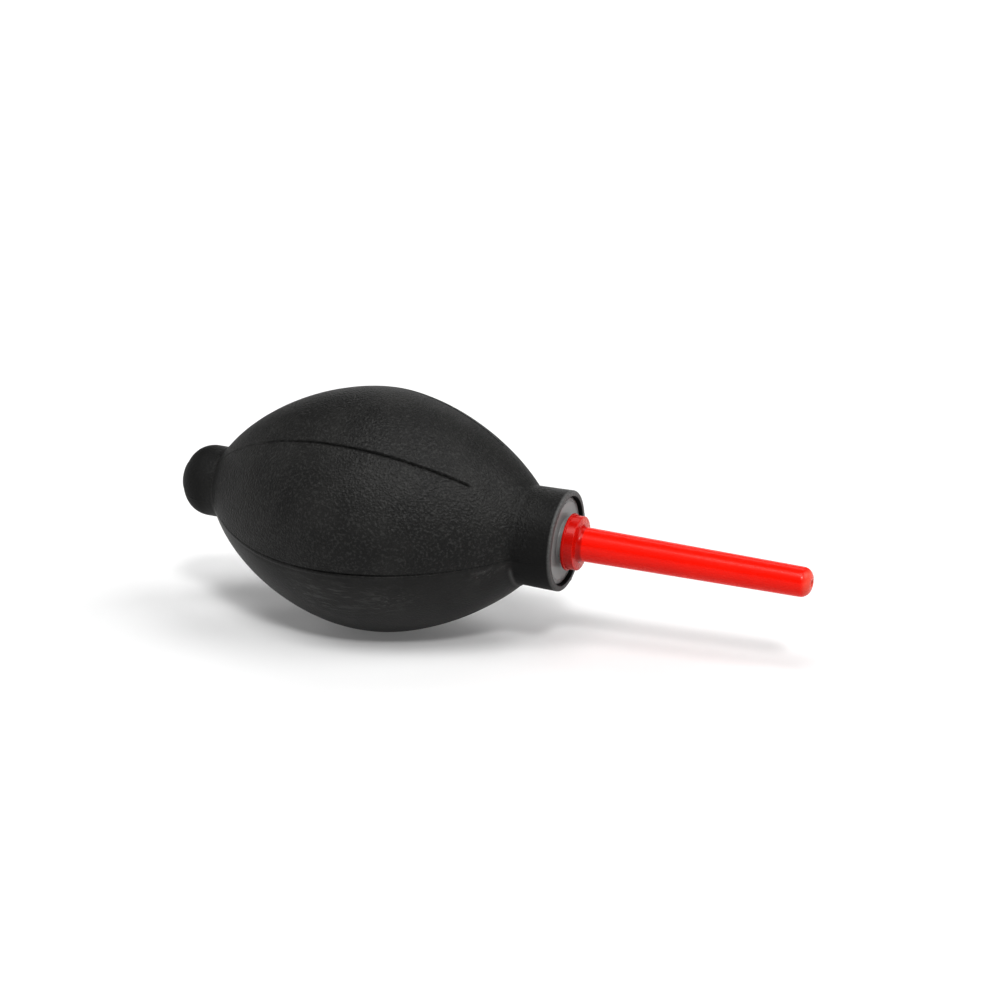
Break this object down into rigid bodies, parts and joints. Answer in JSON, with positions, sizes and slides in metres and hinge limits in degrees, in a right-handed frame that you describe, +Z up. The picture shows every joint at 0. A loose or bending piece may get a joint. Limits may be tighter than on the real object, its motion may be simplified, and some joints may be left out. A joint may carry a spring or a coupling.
{
  "type": "dust blower bulb",
  "caption": "Hand-squeezed rubber dust blower with a push-in tapered nozzle, an outlet check valve in the front neck and a ball inlet valve in the rear neck.",
  "frame": {"origin": "on the surface that the bulb rests on, under the middle of the whole blower's length", "axes": "+X along the blower, the way the air leaves the nozzle; +Z up from the surface that it lies on"},
  "size_m": [0.15, 0.0556, 0.0556],
  "materials": {
    "bulb_rubber": "moulded rubber with a fine leather-like grain",
    "bush_plastic": "satin black plastic",
    "valve_seat": "turned",
    "valve_disc": "smooth silicone",
    "spring_steel": "drawn wire",
    "nozzle_red": "glossy red plastic",
    "seal_rubber": "smooth rubber",
    "inlet_plastic": "satin black plastic",
    "ball_steel": "polished",
    "cage_brass": "turned",
    "screen_steel": "etched",
    "ring_nickel": "satin nickel"
  },
  "bodies": {
    "bulb": {"bulb_shell": "bulb_rubber", "outlet_bush": "bush_plastic", "outlet_valve_seat": "valve_seat", "outlet_valve_spring": "spring_steel"},
    "outlet_valve": {"outlet_valve_disc": "valve_disc"},
    "seal_ring": {"nozzle_seal": "seal_rubber"},
    "nozzle_body": {"nozzle": "nozzle_red"},
    "rear_end": {"inlet_valve_body": "inlet_plastic", "inlet_cage": "cage_brass", "inlet_spring": "spring_steel", "dust_screen": "screen_steel", "screen_ring": "ring_nickel"},
    "ball": {"inlet_ball": "ball_steel"}
  },
  "joints": [
    {"name": "bulb_squeeze", "type": "slide", "parent": "bulb", "child": "rear_end", "axis": [1, 0, 0], "range_m": [0, 0.016], "stiffness_N_per_m": 1200, "deforming": ["bulb_shell"]},
    {"name": "inlet_valve", "type": "slide", "parent": "rear_end", "child": "ball", "axis": [1, 0, 0], "range_m": [0, 0.0012], "stiffness_N_per_m": 20, "springref_m": -0.0005, "deforming": ["inlet_spring"]},
    {"name": "outlet_valve", "type": "slide", "parent": "bulb", "child": "outlet_valve", "axis": [1, 0, 0], "range_m": [0, 0.0012], "stiffness_N_per_m": 20, "springref_m": -0.0005, "deforming": ["outlet_valve_spring"]},
    {"name": "nozzle_pull", "type": "slide", "parent": "bulb", "child": "seal_ring", "axis": [1, 0, 0], "range_m": [0, 0.014]},
    {"name": "nozzle_spin", "type": "hinge", "parent": "seal_ring", "child": "nozzle_body", "pos_m": [0.0186, 0, 0.0278], "axis": [1, 0, 0], "continuous": true}
  ]
}
